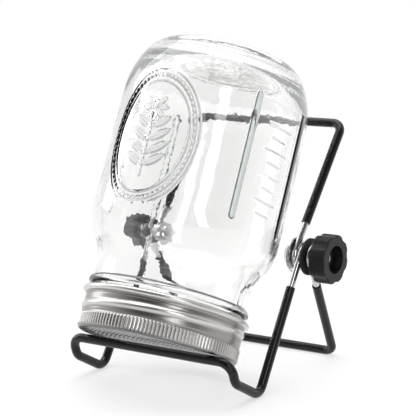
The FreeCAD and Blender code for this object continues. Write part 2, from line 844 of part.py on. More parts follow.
def build_jar():
    mouth = "(sizes.mouth_diameter / 2)"
    chamfer = "sizes.rim_chamfer"
    collar = "(%s + sizes.collar_proud)" % NECK
    throat = "(%s + sizes.throat_proud)" % NECK
    bevel = "sizes.collar_chamfer"
    body_radius = "(sizes.body_diameter / 2)"
    height = "sizes.jar_height"
    wall = "sizes.wall_thickness"
    heel_start = "(sizes.jar_height - sizes.heel_height)"
    shoulder_end = "(sizes.shoulder_start + sizes.shoulder_height)"
    punt_radius = "(%s - sizes.heel_inset - sizes.bearing_width)" % body_radius
    panel = "(sizes.punt_panel / 2)"
    inner_base = "(sizes.heel_height - sizes.base_thickness)"
    inner_radius = "(%s - %s)" % (body_radius, wall)
    floor_height = "(%s - sizes.base_thickness - sizes.punt_depth)" % height

    outside = [
        ("(%s + %s)" % (mouth, chamfer), "0"),
        ("(%s - %s)" % (NECK, chamfer), "0"),
        (NECK, chamfer),
        (NECK, "sizes.collar_start"),
        (collar, "(sizes.collar_start + %s)" % bevel),
        (collar, "(sizes.collar_start + sizes.collar_height - %s)" % bevel),
        (throat, "(sizes.collar_start + sizes.collar_height)"),
    ]
    outside += shoulder_corners(throat, body_radius, 1)
    outside += [(body_radius, shoulder_end)]
    outside += heel_corners(
        body_radius, heel_start, "sizes.heel_height", "sizes.heel_inset", "sizes.heel_toe"
    )
    outside += [
        (punt_radius, height),
        (panel, "(%s - sizes.punt_depth)" % height),
        ("0", "(%s - sizes.punt_depth)" % height),
    ]
    inside_heel = heel_corners(
        inner_radius, heel_start, inner_base, "sizes.heel_inset", "(sizes.heel_toe - %s)" % wall
    )
    inside_shoulder = shoulder_corners(mouth, inner_radius, 1)
    inside_shoulder += [(inner_radius, shoulder_end)]
    inside = [("0", floor_height), (panel, floor_height)]
    inside += flipped(inside_heel)
    inside += flipped(inside_shoulder)
    inside += [(mouth, chamfer)]
    body = turned_body("jar_glass", outside + inside)

    start = "(sizes.thread_start)"
    deep = "(%s - sizes.rim_chamfer)" % NECK
    crest = "(%s + sizes.thread_height)" % NECK
    section = [
        (deep, "(%s - sizes.thread_width / 2)" % start),
        (crest, "(%s - sizes.thread_width / 6)" % start),
        (crest, "(%s + sizes.thread_width / 6)" % start),
        (deep, "(%s + sizes.thread_width / 2)" % start),
    ]
    helix(body, "neck_thread", section, "sizes.thread_turns * sizes.thread_pitch")

    ribs = new_sketch(body, "side_ribs", "XY_Plane", shoulder_end + " + sizes.rib_margin")
    rib_radius = size("rib_radius")
    reach = size("body_diameter") / 2 + size("rib_proud") - rib_radius
    half_spread = size("rib_spread_angle") / 2
    for offset in (half_spread, -half_spread, 180 + half_spread, 180 - half_spread):
        angle = math.radians(size("rib_turn_angle") + offset)
        place = FreeCAD.Vector(reach * math.cos(angle), reach * math.sin(angle), 0)
        ribs.addGeometry(Part.Circle(place, FreeCAD.Vector(0, 0, 1), rib_radius))
    rib_pad = padded(body, ribs, "sizes.rib_length")
    rib_pad.Refine = False
    keep(body, "jar_glass", on_jar_axis(float(sheet.evalExpression(RIM))))


def write_parts():
    """Check every feature, then write each sub-part."""
    doc.recompute()
    failed = [item.Name for item in doc.Objects if "Invalid" in item.State or "Error" in item.State]
    if failed:
        raise RuntimeError("failed: " + ", ".join(failed))
    for piece in pieces:
        if piece.Shape.isNull() or not piece.Shape.isValid():
            raise RuntimeError(piece.Label + " has no valid shape")
    os.makedirs("parts", exist_ok=True)
    for piece in pieces:
        piece.Shape.exportStep(os.path.join("parts", piece.Label + ".step"))
        print(piece.Label, len(piece.Shape.Solids), round(piece.Shape.Volume, 1))
    print("lean", round(LEAN, 3), "lid centre", LID_CENTRE + SHIFT, "axis", JAR_AXIS)
    print("pivot", PIVOT + SHIFT, "shelf", SHELF + SHIFT, "top bar", TOP_BAR + SHIFT)
    print("leg foot", LEG_FOOT + SHIFT, "eyes", X_BACK, X_BASE, X_LEG)


build_base_frame()
build_back_rest()
build_rear_leg()
build_clamps()
build_band()
build_rim_ring()
build_mesh()
build_gasket()
build_jar()
write_parts()
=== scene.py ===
"""Looks for a clear jar with a strainer lid that leans mouth down on a folding wire stand.

Sizes are in millimetres, in the jar's own frame: Z runs from the lid up along the jar.
"""
import json
import math

import bmesh
import bpy
import numpy as np
from mathutils import Matrix, Vector


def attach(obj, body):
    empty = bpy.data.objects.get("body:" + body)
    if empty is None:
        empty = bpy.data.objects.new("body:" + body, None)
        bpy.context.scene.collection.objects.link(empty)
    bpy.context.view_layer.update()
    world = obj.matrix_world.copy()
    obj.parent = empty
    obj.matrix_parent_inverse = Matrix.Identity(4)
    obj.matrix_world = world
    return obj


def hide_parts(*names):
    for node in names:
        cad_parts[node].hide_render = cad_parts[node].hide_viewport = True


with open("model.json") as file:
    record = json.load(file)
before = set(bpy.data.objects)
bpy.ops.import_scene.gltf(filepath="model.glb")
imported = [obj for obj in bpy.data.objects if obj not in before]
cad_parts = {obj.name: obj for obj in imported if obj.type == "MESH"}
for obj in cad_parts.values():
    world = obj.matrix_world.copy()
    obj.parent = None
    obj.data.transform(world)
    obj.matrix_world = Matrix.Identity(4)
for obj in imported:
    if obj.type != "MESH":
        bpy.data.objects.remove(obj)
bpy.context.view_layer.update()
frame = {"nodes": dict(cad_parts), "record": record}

MM = 0.001
TURN = 2 * math.pi

joints = {joint["name"]: joint for joint in frame["record"]["behaviour"]["joints"]}
LID_CENTRE = Vector(joints["jar_turn"]["pos_m"])
JAR_AXIS = Vector(joints["jar_turn"]["axis"]).normalized()
PIVOT = Vector(joints["back_rest_tilt"]["pos_m"])

# Radii of the jar, and heights above its rim

RIM_LEVEL = 2.85
BODY_RADIUS = 42.0
INNER_RADIUS = 39.0
MOUTH_RADIUS = 30.0
NECK_RADIUS = 33.2
NECK_END = 17.4
LIP_ROUND = 0.9
COLLAR_MIDDLE = (34.3, 19.1)
COLLAR_BEND = 1.7
THROAT_RADIUS = 34.2
THROAT_START, THROAT_END = 20.8, 24.5
SHOULDER_BEND, INNER_SHOULDER_BEND = 25.315, 22.5
SHOULDER_END = 51.5
HEEL_START = 105.0
HEEL_BEND, INNER_HEEL_BEND = 40.4, 24.06
INNER_HEEL_REACH = 18.0625
TOE_BEND, INNER_TOE_BEND = 9.0, 6.0
INNER_TOE = (25.0, 120.0)
RING_RADII = (24.5, 28.0)
JAR_HEIGHT = 131.0
PANEL_LEVEL, INNER_PANEL_LEVEL = 128.2, 123.4
PANEL_DOME, INNER_PANEL_DOME = 108.6, 121.5
THREAD_PITCH = 6.35
JAR_SEGMENTS = 900

# Radii and heights of the screw band, above its outer face

BAND_RADIUS = 35.45
BAND_ROOT = 34.95
BAND_OPENING = 32.6
BAND_LIP = 0.6
BAND_CORNER = 0.8
SKIRT_END, SKIRT_INNER_END = 15.7, 18.47
BEAD_MIDDLE = (35.85, 17.4)
BEAD_RADIUS = 1.4
BEAD_TURN = (-105, 130)
KNURL_TEETH = 136
KNURL_SPAN = (0.8, 6.6)
KNURL_DEPTH = 0.45


def jar_place(height):
    """Matrix of a piece on the jar's axis, a height above the lid's outer face."""
    back = JAR_AXIS.cross(Vector((1, 0, 0)))
    turn = Matrix((Vector((1, 0, 0)), back, JAR_AXIS)).transposed().to_4x4()
    return Matrix.Translation(LID_CENTRE + JAR_AXIS * (height * MM)) @ turn


# Finishes


class Flow:
    """A value that runs through a finish; sums, products and powers of it add Math nodes."""

    def __init__(self, finish, socket):
        self.finish = finish
        self.socket = socket

    def maths(self, operation, first, second):
        return self.finish.node("ShaderNodeMath", {"operation": operation}, {0: first, 1: second})

    def __add__(self, other):
        return self.maths("ADD", self, other)

    def __sub__(self, other):
        return self.maths("SUBTRACT", self, other)

    def __rsub__(self, other):
        return self.maths("SUBTRACT", other, self)

    def __mul__(self, other):
        return self.maths("MULTIPLY", self, other)

    def __pow__(self, other):
        return self.maths("POWER", self, other)

    def __rpow__(self, other):
        return self.maths("POWER", other, self)

    __radd__ = __add__
    __rmul__ = __mul__


class Finish:
    """A surface under construction: a material, or the world behind the object."""

    def __init__(self, owner):
        owner.use_nodes = True
        self.owner = owner
        self.tree = owner.node_tree

    def node(self, kind, settings=None, inputs=None, output=0):
        """Add one node, set it up, feed its sockets and give back one of its outputs."""
        made = self.tree.nodes.new(kind)
        for name, value in (settings or {}).items():
            setattr(made, name, value)
        for name, value in (inputs or {}).items():
            self.plug(made.inputs[name], value)
        return Flow(self, made.outputs[output])

    def plug(self, socket, value):
        if isinstance(value, Flow):
            self.tree.links.new(value.socket, socket)
        else:
            socket.default_value = value

    def place(self):
        """Where a point lies on its own piece, in metres."""
        return self.node("ShaderNodeTexCoord", output="Object")

    def parts_of(self, vector):
        """The three parts of a vector."""
        first = self.node("ShaderNodeSeparateXYZ", None, {0: vector})
        return [Flow(self, socket) for socket in first.socket.node.outputs]

    def noise(self, scale, detail=3.0, vector=None):
        inputs = {"Vector": vector or self.place(), "Scale": scale, "Detail": detail}
        return self.node("ShaderNodeTexNoise", None, inputs, "Fac")

    def ramp(self, value, low, high, first=0.0, last=1.0):
        """A value that climbs from first to last while another runs from low to high."""
        inputs = {"Value": value, "From Min": low, "From Max": high}
        inputs.update({"To Min": first, "To Max": last})
        return self.node("ShaderNodeMapRange", None, inputs)

    def beyond(self, value, limits):
        """0 before the first of two limits in millimetres and 1 past the second."""
        return self.ramp(value, limits[0] * MM, limits[1] * MM)

    def mixed(self, amount, first, second):
        """A colour between two others."""
        settings = {"data_type": "RGBA"}
        return self.node("ShaderNodeMix", settings, {0: amount, 6: first, 7: second}, 2)


def finish_surface(name, constants, colour, roughness, height, depth):
    """A material from what its callables say of colour, roughness and relief."""
    finish = Finish(bpy.data.materials.new(name))
    surface = finish.tree.nodes["Principled BSDF"]
    for socket, value in constants.items():
        surface.inputs[socket].default_value = value
    finish.plug(surface.inputs["Base Color"], colour(finish))
    finish.plug(surface.inputs["Roughness"], roughness(finish))
    relief = {"Strength": 1.0, "Distance": depth, "Height": height(finish)}
    finish.plug(surface.inputs["Normal"], finish.node("ShaderNodeBump", None, relief))
    return finish.owner


def mottled_finish(name, constants, shades, speck, gloss, sheen, grain, depth, spread=(0.3, 0.8)):
    """A finish mottled between two shades, with uneven gloss and a fine grain.

    Speck and gloss are the scale and detail of their noise, sheen is the range of roughness
    that the spread of the gloss noise gives, and grain makes the relief.
    """
    return finish_surface(
        name,
        constants,
        lambda f: f.mixed(f.noise(*speck), *shades),
        lambda f: f.ramp(f.noise(*gloss), *spread, *sheen),
        grain,
        depth,
    )


METAL = {"Metallic": 1.0}

RELIEF_FOOT = (BODY_RADIUS + 0.03, BODY_RADIUS + 0.15)
RELIEF_CREST = (BODY_RADIUS + 0.5, BODY_RADIUS + 0.9)
RELIEF_START, RELIEF_END = (51.5, 52.2), (111.0, 110.0)
RIB_SIDE = (34.0, 34.5)
LADDER_MIDDLE = 6.05
LADDER_REACH = (11.0, 10.5)
LADDER_SIDE = (0.0, 1.0)
# How much of the painted shade on the flanks the measuring lines lose
LADDER_SOFTENING = 0.6
REAR_SIDE = (-5.0, 5.0)
# Where painted shade lies on the base: the stippled panel and the edges of its ring
PANEL_START, PANEL_EDGE = (121.5, 122.5), (25.0, 20.0)
RING_START, RING_EDGES = (129.6, 130.2), ((23.6, 24.3, 25.2), (27.4, 28.2, 30.0))
# The base glows by emission between these heights, up to BASE_GLOW: painted light
BASE_START, BASE_FULL = 106.0, 118.0
BASE_GLOW = 0.06
# Painted glow: emission on the rib crests, more on the rear ribs
RIB_GLOW, REAR_RIB_GLOW = 0.06, 0.18

CLEAR_SHADES = ((0.962, 0.962, 0.958, 1), (0.972, 0.972, 0.968, 1))
# Painted shade along the flanks of the relief and the edges of the base's ring
RELIEF_EDGE_SHADE = (0.42, 0.43, 0.425, 1)
# Painted grey shade, mottled, over the stippled base panel
PANEL_PAINTED_SHADES = ((0.42, 0.42, 0.41, 1), (0.86, 0.86, 0.85, 1))
# Painted dark shade along the flanks of the side ribs
RIB_EDGE_SHADE = (0.02, 0.024, 0.022, 1)
# The glass's own green on the rib crests, painted lighter for the rear ribs
RIB_GREENS_AND_PAINTED_LIGHT = ((0.36, 0.41, 0.39, 1), (0.5, 0.56, 0.53, 1))
BLACK = (0, 0, 0, 1)
WHITE = (1, 1, 1, 1)
COOL_WHITE = (0.97, 1, 0.985, 1)


def relief_masks(f):
    """On the jar's outside: the side ribs' crests, the side ribs' flanks and all flanks, where
    shade is painted, and the rear side.
    """
    x, y, z = f.parts_of(f.place())
    radius = (x * x + y * y) ** 0.5
    level = f.beyond(z, RELIEF_START) * f.beyond(z, RELIEF_END)
    crest = f.beyond(radius, RELIEF_CREST)
    flank = f.beyond(radius, RELIEF_FOOT) * (1 - crest) * level
    between = y + LADDER_MIDDLE * MM
    ladder = f.beyond(x, LADDER_SIDE) * f.beyond((between * between) ** 0.5, LADDER_REACH)
    side = f.beyond((x * x) ** 0.5, RIB_SIDE) * (1 - ladder)
    rear = f.beyond(y, REAR_SIDE)
    return crest * side * level, flank * side, flank * (1 - LADDER_SOFTENING * ladder), rear


def base_masks(f):
    """On the jar's base: the stippled panel, which gets painted grey shade, and the edges of the
    ring round it, where shade is painted.
    """
    x, y, z = f.parts_of(f.place())
    radius = (x * x + y * y) ** 0.5
    panel = f.beyond(z, PANEL_START) * f.beyond(radius, PANEL_EDGE)
    rings = [f.beyond(radius, (a, b)) * f.beyond(radius, (c, b)) for a, b, c in RING_EDGES]
    return panel, (rings[0] + rings[1]) * f.beyond(z, RING_START)


def clear_glass():
    def colour(f):
        """Nearly clear, with painted grey shade over the stippled base, painted shade along the
        edges of the relief, and a green tint in the ribs that is painted lighter on the rear ones.
        """
        crest, rib_flank_shade, flank, rear = relief_masks(f)
        panel, ring = base_masks(f)
        clear = f.mixed(f.noise(30.0), *CLEAR_SHADES)
        # Painted grey shade over the stippled panel
        stippled = f.mixed(f.ramp(f.noise(420.0, 4.0), 0.4, 0.62), *PANEL_PAINTED_SHADES)
        based = f.mixed(ring, f.mixed(panel, clear, stippled), RELIEF_EDGE_SHADE)
        # Painted shade on the flanks of the relief and of the side ribs
        edged = f.mixed(rib_flank_shade, f.mixed(flank, based, RELIEF_EDGE_SHADE), RIB_EDGE_SHADE)
        return f.mixed(crest, edged, f.mixed(rear, *RIB_GREENS_AND_PAINTED_LIGHT))

    material = finish_surface(
        "clear_glass",
        {
            "Transmission Weight": 1.0,
            "IOR": 1.47,
            "Specular IOR Level": 0.5,
            "Emission Strength": 1.0,
        },
        colour,
        lambda f: f.ramp(f.noise(160.0, 6.0), 0.5, 0.8, 0.0, 0.03),
        lambda f: f.noise(45.0, 1.0) + 0.15 * f.noise(260.0, 2.0),
        0.4 * MM,
    )
    finish = Finish(material)
    z = finish.parts_of(finish.place())[2]
    # Painted light: the base's thick glass glows by emission
    painted_base_glow = finish.ramp(z, BASE_START * MM, BASE_FULL * MM, 0.0, BASE_GLOW)
    # Painted light: the rib crests glow by emission
    crest, _, _, rear = relief_masks(finish)
    glow = crest * (RIB_GLOW + REAR_RIB_GLOW * rear) + painted_base_glow
    surface = finish.tree.nodes["Principled BSDF"]
    finish.plug(surface.inputs["Emission Color"], finish.mixed(glow, BLACK, COOL_WHITE))
    return material


# Whatever stands out past this radius gets a painted highlight
BAND_HIGHLIGHT_REACH = (BAND_RADIUS, BAND_RADIUS + 0.45)
BAND_UNDERSIDE = (0.1, 0.9)
BRUSH_ROUND, BRUSH_UP = 0.8, 2600.0
DULL_TIN = ((0.25, 0.243, 0.237, 1), (0.38, 0.37, 0.36, 1))
# Painted highlight on the knurl and the rolled thread
HIGHLIGHT_TIN = (0.62, 0.61, 0.595, 1)
SHADED_TIN = (0.14, 0.137, 0.133, 1)


def rolled_tinplate():
    def brushed(f):
        """Fine lines that run round the band."""
        x, y, z = f.parts_of(f.place())
        angle = f.node("ShaderNodeMath", {"operation": "ARCTAN2"}, {0: y, 1: x})
        lines = f.node("ShaderNodeCombineXYZ", None, {0: angle * BRUSH_ROUND, 2: z * BRUSH_UP})
        return f.noise(1.0, 5.0, lines)

    def colour(f):
        """Brushed tone over the skirt, a painted highlight on whatever stands out and painted shade
        underneath.
        """
        x, y, z = f.parts_of(f.place())
        crest = f.beyond((x * x + y * y) ** 0.5, BAND_HIGHLIGHT_REACH)
        # Painted highlight on what stands out, then painted shade on the outer face underneath
        skirt = f.mixed(crest, f.mixed(brushed(f), *DULL_TIN), HIGHLIGHT_TIN)
        return f.mixed(f.beyond(z, BAND_UNDERSIDE), SHADED_TIN, skirt)

    return finish_surface(
        "rolled_tinplate",
        METAL,
        colour,
        lambda f: f.ramp(brushed(f), 0.25, 0.75, 0.24, 0.36),
        lambda f: brushed(f) + 0.4 * f.noise(900.0, 3.0),
        0.02 * MM,
    )


def soft_rubber(name, *shades):
    return mottled_finish(
        name,
        {"Specular IOR Level": 0.35},
        shades,
        speck=(700.0, 4.0),
        gloss=(1500.0, 4.0),
        sheen=(0.5, 0.7),
        grain=lambda f: f.noise(2600.0, 4.0),
        depth=0.06 * MM,
    )


GLASS = clear_glass()
WIRE = mottled_finish(
    "drawn_steel",
    METAL,
    ((0.5, 0.5, 0.51, 1), (0.64, 0.64, 0.645, 1)),
    speck=(700.0,),
    gloss=(900.0, 5.0),
    sheen=(0.06, 0.16),
    grain=lambda f: f.noise(1400.0, 4.0),
    depth=0.02 * MM,
)
PLATED = mottled_finish(
    "plated_steel",
    METAL,
    ((0.52, 0.52, 0.54, 1), (0.68, 0.68, 0.69, 1)),
    speck=(900.0,),
    gloss=(1200.0, 5.0),
    sheen=(0.08, 0.22),
    grain=lambda f: f.noise(2500.0, 4.0),
    depth=0.02 * MM,
)
COAT = mottled_finish(
    "dipped_black",
    {"Specular IOR Level": 0.12, "Coat Weight": 0.4, "Coat Roughness": 0.09},
    ((0.003, 0.003, 0.0035, 1), (0.007, 0.007, 0.008, 1)),
    speck=(500.0, 4.0),
    gloss=(1100.0, 5.0),
    sheen=(0.17, 0.27),
    grain=lambda f: f.noise(350.0, 2.0),
    depth=0.004 * MM,
    spread=(0.35, 0.75),
)
KNOB = mottled_finish(
    "moulded_knob",
    {"Specular IOR Level": 0.22},
    ((0.004, 0.004, 0.0045, 1), (0.009, 0.009, 0.01, 1)),
    speck=(1200.0, 4.0),
    gloss=(2200.0, 4.0),
    sheen=(0.32, 0.46),
    grain=lambda f: f.node(
        "ShaderNodeTexVoronoi", None, {"Vector": f.place(), "Scale": 3600.0}, "Distance"
    ),
    depth=0.05 * MM,
)
TINPLATE = rolled_tinplate()
WEAVE = mottled_finish(
    "woven_steel",
    METAL,
    ((0.3, 0.3, 0.31, 1), (0.46, 0.46, 0.47, 1)),
    speck=(2000.0,),
    gloss=(3000.0, 4.0),
    sheen=(0.2, 0.36),
    grain=lambda f: f.noise(5000.0, 3.0),
    depth=0.02 * MM,
)
DISC_RUBBER = soft_rubber("disc_rubber", (0.008, 0.008, 0.008, 1), (0.02, 0.02, 0.02, 1))
SEAL_RUBBER = soft_rubber("seal_rubber", (0.7, 0.7, 0.68, 1), (0.8, 0.8, 0.78, 1))

NODE_FINISHES = {
    "base_wire": WIRE,
    "base_coat": COAT,
    "back_rest_wire": WIRE,
    "back_rest_coat": COAT,
    "rear_leg_wire": WIRE,
    "rear_leg_coat": COAT,
    "screen_rim": WEAVE,
    "gasket_ring": SEAL_RUBBER,
}
for word in ("right", "left"):
    NODE_FINISHES["bolt_" + word] = PLATED
    NODE_FINISHES["bevel_washer_" + word] = PLATED
    NODE_FINISHES["friction_disc_" + word] = DISC_RUBBER
    NODE_FINISHES["knob_washer_" + word] = PLATED
    NODE_FINISHES["knob_" + word] = KNOB
    NODE_FINISHES["knob_insert_" + word] = PLATED
for node, finish in NODE_FINISHES.items():
    materials = frame["nodes"][node].data.materials
    materials.clear()
    materials.append(finish)


# Mesh helpers


def add_piece(name, verts, faces, material, place, body, replaced=None, sharp=40.0):
    """Turn points in metres into a smooth-shaded piece that rides on a body."""
    mesh = bpy.data.meshes.new(name)
    mesh.from_pydata([tuple(point) for point in verts], [], faces)
    form = bmesh.new()
    form.from_mesh(mesh)
    bmesh.ops.recalc_face_normals(form, faces=form.faces)
    form.to_mesh(mesh)
    form.free()
    mesh.polygons.foreach_set("use_smooth", [True] * len(mesh.polygons))
    mesh.set_sharp_from_angle(angle=math.radians(sharp))
    mesh.materials.append(material)
    piece = bpy.data.objects.new(name, mesh)
    bpy.context.scene.collection.objects.link(piece)
    piece.matrix_world = place
    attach(piece, body)
    if replaced is not None:
        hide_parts(replaced)
    return piece


def straight(start, end, step):
    """Points from start towards end, without the end itself."""
    start, end = np.array(start, float), np.array(end, float)
    count = max(1, math.ceil(np.linalg.norm(end - start) / step))
    return [start + (end - start) * (number / count) for number in range(count)]


def bend(across, up, radius, first, last, step):
    """Points of an arc about a centre, from one angle in degrees to another, without the last."""
    first, last = math.radians(first), math.radians(last)
    count = max(2, math.ceil(abs(last - first) * radius / step))
    angles = [first + (last - first) * number / count for number in range(count)]
    return [np.array((across + radius * math.cos(a), up + radius * math.sin(a))) for a in angles]


def turned(profile, segments, shape):
    """Points and faces of a closed skin turned from profile rings, whose points shape moves.

    A profile that starts and ends on the axis is closed by its two poles, and any other
    closes on itself.
    """
    rings = np.array(profile)
    angles = np.arange(segments) * TURN / segments
    across = np.repeat(rings[:, :1], segments, axis=1)
    up = np.repeat(rings[:, 1:], segments, axis=1)
    across, up = shape(across, up, np.broadcast_to(angles, across.shape))
    poled = rings[0, 0] == 0
    if poled:
        tips = [(0, 0, up[0, 0]), (0, 0, up[-1, 0])]
        across, up = across[1:-1], up[1:-1]
    layers = [across * np.cos(angles), across * np.sin(angles), up]
    points = np.stack(layers, axis=-1).reshape(-1, 3)
    count = len(across)
    faces = []
    for ring in range(count - 1 if poled else count):
        low, high = ring * segments, (ring + 1) % count * segments
        for number in range(segments):
            after = (number + 1) % segments
            faces.append((low + number, low + after, high + after, high + number))
    if poled:
        for tip, ring in ((len(points), 0), (len(points) + 1, count - 1)):
            start = ring * segments
            for number in range(segments):
                faces.append((tip, start + number, start + (number + 1) % segments))
        points = np.concatenate([points, tips])
    return points * MM, faces


def bump(distance, width):
    """A smooth hill of height 1, a width to each side of its middle."""
    return np.cos(np.clip(np.abs(distance) / width, 0, 1) * math.pi / 2) ** 2


def eased(value, low, high):
    """0 below low, 1 above high and smooth between."""
    part = np.clip((value - low) / (high - low), 0, 1)
    return part * part * (3 - 2 * part)


def apart(angles, middle):
    """Signed angle from a middle, the short way round."""
    return (angles - middle + math.pi) % TURN - math.pi


# Glass jar


def arc_angle(rise, radius):
    """Degrees that an arc of a radius turns through while it climbs by a rise."""
    return math.degrees(math.asin(rise / radius))


def jar_profile():
    """Rings from the middle of the base down the outside, round the rim and up the inside."""
    ring_in, ring_out = RING_RADII
    toe_level = JAR_HEIGHT - TOE_BEND
    half_rise = (SHOULDER_END - THROAT_END) / 2
    panel = arc_angle(ring_in, PANEL_DOME)
    heel = arc_angle(toe_level - HEEL_START, HEEL_BEND - TOE_BEND)
    shoulder = arc_angle(half_rise, SHOULDER_BEND)
    inner_shoulder = arc_angle(half_rise, INNER_SHOULDER_BEND)
    inner_heel = arc_angle(INNER_TOE[1] - HEEL_START, INNER_HEEL_REACH)
    inner_panel = arc_angle(INNER_TOE[0], INNER_PANEL_DOME)
    neck_top, collar_base = (NECK_RADIUS, NECK_END), (COLLAR_MIDDLE[0], NECK_END)
    rings = bend(0, PANEL_LEVEL + PANEL_DOME, PANEL_DOME, -90, -90 + panel, step=0.8)
    rings += straight((ring_in, JAR_HEIGHT), (ring_out, JAR_HEIGHT), step=0.7)
    rings += bend(ring_out, toe_level, TOE_BEND, 90, heel, step=0.9)
    rings += bend(BODY_RADIUS - HEEL_BEND, HEEL_START, HEEL_BEND, heel, 0, step=0.8)
    rings += straight((BODY_RADIUS, HEEL_START), (BODY_RADIUS, SHOULDER_END), step=0.5)
    middle = BODY_RADIUS - SHOULDER_BEND
    rings += bend(middle, SHOULDER_END, SHOULDER_BEND, 0, -shoulder, step=1.2)
    middle = THROAT_RADIUS + SHOULDER_BEND
    rings += bend(middle, THROAT_END, SHOULDER_BEND, 180 - shoulder, 180, step=1.2)
    rings += straight((THROAT_RADIUS, THROAT_END), (THROAT_RADIUS, THROAT_START), step=0.8)
    rings += bend(*COLLAR_MIDDLE, COLLAR_BEND, 90, -90, step=0.3)
    rings += straight(collar_base, neck_top, step=0.4)
    rings += straight(neck_top, (NECK_RADIUS, LIP_ROUND), step=0.45)
    rings += bend(NECK_RADIUS - LIP_ROUND, LIP_ROUND, LIP_ROUND, 0, -90, step=0.3)
    rings += bend(MOUTH_RADIUS + LIP_ROUND, LIP_ROUND, LIP_ROUND, 270, 180, step=0.3)
    rings += straight((MOUTH_RADIUS, LIP_ROUND), (MOUTH_RADIUS, THROAT_END), step=3.0)
    middle = MOUTH_RADIUS + INNER_SHOULDER_BEND
    rings += bend(middle, THROAT_END, INNER_SHOULDER_BEND, 180, 180 - inner_shoulder, step=1.5)
    middle = INNER_RADIUS - INNER_SHOULDER_BEND
    rings += bend(middle, SHOULDER_END, INNER_SHOULDER_BEND, -inner_shoulder, 0, step=1.5)
    rings += straight((INNER_RADIUS, SHOULDER_END), (INNER_RADIUS, HEEL_START), step=4.0)
    middle = INNER_RADIUS - INNER_HEEL_BEND
    rings += bend(middle, HEEL_START, INNER_HEEL_BEND, 0, inner_heel, step=1.2)
    rings += bend(*INNER_TOE, INNER_TOE_BEND, inner_heel, 90, step=0.8)
    middle = INNER_PANEL_LEVEL + INNER_PANEL_DOME
    rings += bend(0, middle, INNER_PANEL_DOME, -90 + inner_panel, -90, step=1.6)
    rings.append(np.array((0.0, INNER_PANEL_LEVEL)))
    return rings


LEAF_GROOVE_DEPTH, LEAF_GROOVE_WIDTH = 0.45, 0.25
OVAL_LEVEL = 80.0
OVAL_ANGLE = -TURN / 4
OVAL_HALF = (20.5, 28.0)
OVAL_BEADS, OVAL_BEAD_DIP = 60, 0.65
OVAL_RIM_HEIGHT, OVAL_RIM_WIDTH = 0.95, 1.3
OVAL_LINES = ((-2.6, 0.5), (2.3, 0.45))
OVAL_LINE_WIDTH = 0.7
STEM_HEIGHT, STEM_WIDTH = 0.5, 0.8
STEM_FOOT, STEM_TOP = (-19.0, -17.0), (8.0, 9.0)
BLADE_PAIRS = 4
BLADE_START, BLADE_STEP = -13.0, 5.6
BLADE_LIFT = 2.6
BLADE_REACH, BLADE_TAPER = 6.6, 0.6
BLADE_HEIGHT, BLADE_WIDTH = 0.9, 1.9
BLADE_TILT = 58
BLADE_OFFSET, BLADE_LENGTH = 0.85, 0.95
PETALS = 8
PETAL_HEIGHT, PETAL_LENGTH, PETAL_WIDTH = 1.0, 2.9, 1.35
ROSETTE_LEVEL, ROSETTE_RADIUS = 13.0, 3.9
HEART_HEIGHT, HEART_RADIUS = 1.1, 2.2


def leaf(across, up, middle, length, width, tilt):
    """A pointed leaf with a groove along its middle, turned by a tilt in degrees."""
    tilt = math.radians(tilt)
    along = (across - middle[0]) * math.sin(tilt) + (up - middle[1]) * math.cos(tilt)
    side = (across - middle[0]) * math.cos(tilt) - (up - middle[1]) * math.sin(tilt)
    part = np.clip(along / length, -1, 1)
    reach = width * (1 - part * part) + 1e-6
    body = np.where(np.abs(along) < length, np.clip(1 - (side / reach) ** 2, 0, 1) ** 0.5, 0)
    groove = 1 - np.clip(np.abs(side) / (LEAF_GROOVE_WIDTH * width), 0, 1)
    return body * (1 - LEAF_GROOVE_DEPTH * groove)


def oval_relief(across, up):
    """Height of the moulded oval: a beaded rim between thin lines, and a sprig with a rosette."""
    half_across, half_up = OVAL_HALF
    around = np.arctan2(up / half_up, across / half_across)
    scale = np.hypot(across / half_across, up / half_up)
    from_rim = (scale - 1) * (half_across + half_up) / 2
    beads = 1 - OVAL_BEAD_DIP * (1 - np.abs(np.cos(around * OVAL_BEADS / 2)))
    height = OVAL_RIM_HEIGHT * bump(from_rim, OVAL_RIM_WIDTH) * beads
    for place, line_height in OVAL_LINES:
        height = np.maximum(height, line_height * bump(from_rim - place, OVAL_LINE_WIDTH))
    stem = STEM_HEIGHT * bump(across, STEM_WIDTH)
    height = np.maximum(height, stem * eased(up, *STEM_FOOT) * (1 - eased(up, *STEM_TOP)))
    for step in range(BLADE_PAIRS):
        level = BLADE_START + BLADE_STEP * step + BLADE_LIFT
        reach = BLADE_REACH - BLADE_TAPER * abs(step - 1)
        for side in (-1, 1):
            spot = (side * reach * BLADE_OFFSET, level)
            tilt = side * BLADE_TILT
            blade = leaf(across, up, spot, reach * BLADE_LENGTH, BLADE_WIDTH, tilt)
            height = np.maximum(height, BLADE_HEIGHT * blade)
    for number in range(PETALS):
        angle = TURN * number / PETALS
        spot = (ROSETTE_RADIUS * math.sin(angle), ROSETTE_LEVEL + ROSETTE_RADIUS * math.cos(angle))
        petal = leaf(across, up, spot, PETAL_LENGTH, PETAL_WIDTH, math.degrees(angle))
        height = np.maximum(height, PETAL_HEIGHT * petal)
    heart = bump(np.hypot(across, up - ROSETTE_LEVEL), HEART_RADIUS)
    return np.maximum(height, HEART_HEIGHT * heart)


RIB_ANGLES = (-30.0, 12.0, 150.0, 192.0)
RIB_START, RIB_END = 52.8, 109.8
RIB_RADIUS = 1.55
RIB_SUNK = 0.35


def rib_relief(angles, up):
    """Four upright half-round ribs, in two pairs."""
    height = np.zeros_like(up)
    below = np.maximum(RIB_START + RIB_RADIUS - up, 0)
    above = np.maximum(up - RIB_END + RIB_RADIUS, 0)
    for degrees in RIB_ANGLES:
        side = apart(angles, math.radians(degrees)) * BODY_RADIUS
        hill = np.sqrt(np.maximum(RIB_RADIUS**2 - side**2 - (below + above) ** 2, 0))
        height = np.maximum(height, hill - RIB_SUNK)
    return height


